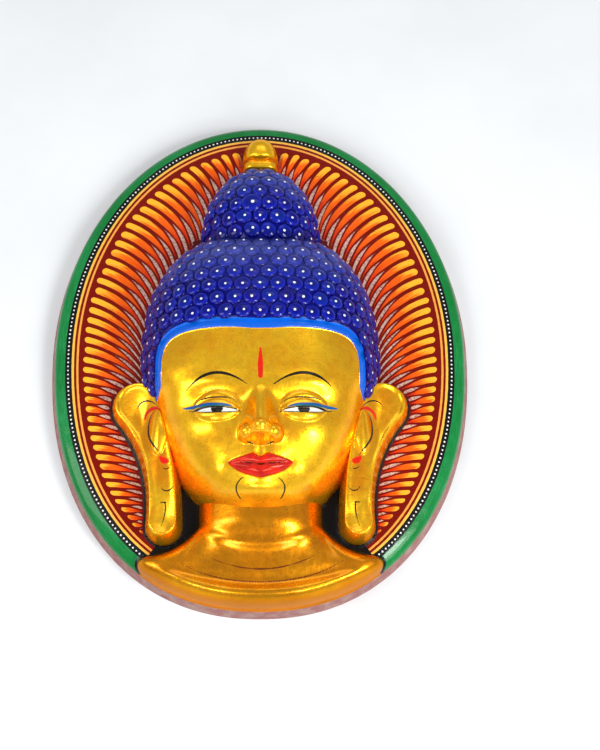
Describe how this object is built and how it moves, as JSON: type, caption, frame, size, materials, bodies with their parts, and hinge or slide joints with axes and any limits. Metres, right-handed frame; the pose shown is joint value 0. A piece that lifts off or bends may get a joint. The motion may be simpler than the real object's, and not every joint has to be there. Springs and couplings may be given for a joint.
{
  "type": "papier-mache mask",
  "caption": "Oval papier-mache wall mask: a hollow head with curled hair, topknot, long ears and shoulders standing out of a rayed plate with a turned-down rim, lying face up.",
  "frame": {"origin": "middle of the plane of the back rim, on the surface that the mask lies on", "axes": "+X across the face to the viewer's right, +Y towards the top of the head, +Z out of the face"},
  "size_m": [0.27, 0.335, 0.0829],
  "materials": {
    "gilded_paper": "satin"
  },
  "bodies": {
    "root": {"mask": "gilded_paper"}
  },
  "joints": []
}
